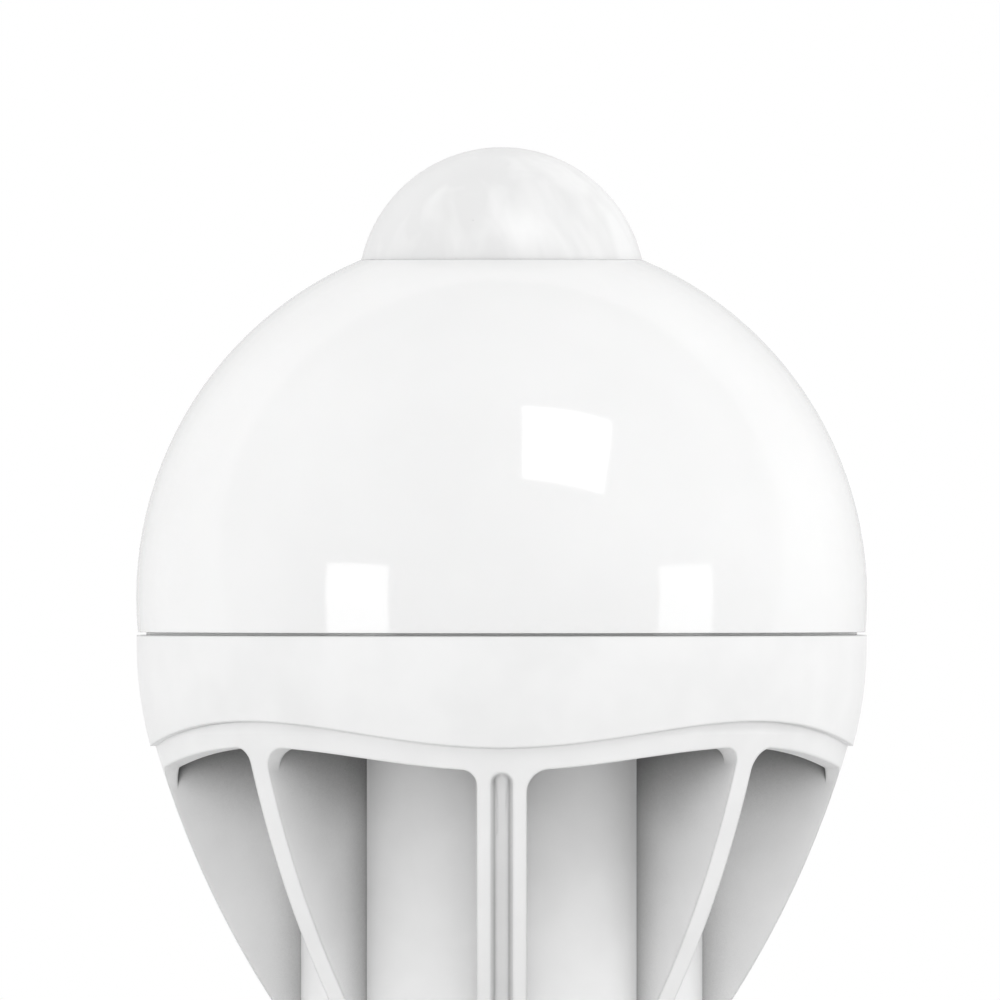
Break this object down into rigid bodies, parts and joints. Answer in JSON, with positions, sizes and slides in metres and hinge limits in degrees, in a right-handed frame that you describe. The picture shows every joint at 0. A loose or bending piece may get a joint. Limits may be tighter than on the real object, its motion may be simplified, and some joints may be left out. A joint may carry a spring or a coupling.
{
  "type": "motion sensor led bulb",
  "caption": "White LED lamp with a milky globe, a motion sensor dome on top, a finned body with a wavy collar and a screw base.",
  "frame": {"origin": "tip of the centre contact, on the lamp's axis, which is the lowest point", "axes": "+Z along the axis from the screw base up to the sensor dome; -Y towards the viewer, in line with a wide fin"},
  "size_m": [0.07, 0.07, 0.1257],
  "materials": {
    "globe_milky": "gloss",
    "dome_milky": "satin",
    "casting_white": "satin",
    "sleeve_white": "satin",
    "shell_nickel": "satin",
    "insulator_black": "gloss",
    "contact_nickel": "satin",
    "pillar_white": "matte",
    "board_green": "satin",
    "board_white": "satin",
    "can_steel": "satin",
    "filter_dark": "gloss",
    "header_glass": "gloss",
    "pin_tinned": "satin",
    "cell_buff": "matte",
    "chip_black": "matte",
    "can_sleeved": "gloss",
    "diode_yellow": "satin",
    "screw_zinc": "satin",
    "ferrite_grey": "matte",
    "winding_tape": "satin",
    "wire_red": "satin",
    "wire_black": "satin",
    "wire_white": "satin",
    "resistor_green": "matte"
  },
  "bodies": {
    "root": {"diffuser_globe": "globe_milky", "sensor_lens": "dome_milky", "heat_sink": "casting_white", "driver_sleeve": "sleeve_white", "screw_shell": "shell_nickel", "base_insulator": "insulator_black", "centre_contact": "contact_nickel", "sensor_holder": "pillar_white", "sensor_board": "board_green", "sensor_can": "can_steel", "sensor_filter": "filter_dark", "sensor_header": "header_glass", "sensor_pins": "pin_tinned", "daylight_cell": "cell_buff", "sensor_chip": "chip_black", "sensor_capacitor": "can_sleeved", "bulk_capacitor": "can_sleeved", "output_capacitor": "can_sleeved", "light_board": "board_white", "light_diodes": "diode_yellow", "board_screws": "screw_zinc", "driver_board": "board_green", "transformer_core": "ferrite_grey", "transformer_winding": "winding_tape", "rectifier": "chip_black", "driver_chip": "chip_black", "output_diode": "chip_black", "live_lead": "wire_red", "neutral_lead": "wire_black", "sensor_wires": "wire_white", "light_wires": "wire_red", "fuse_resistor": "resistor_green"}
  },
  "joints": []
}
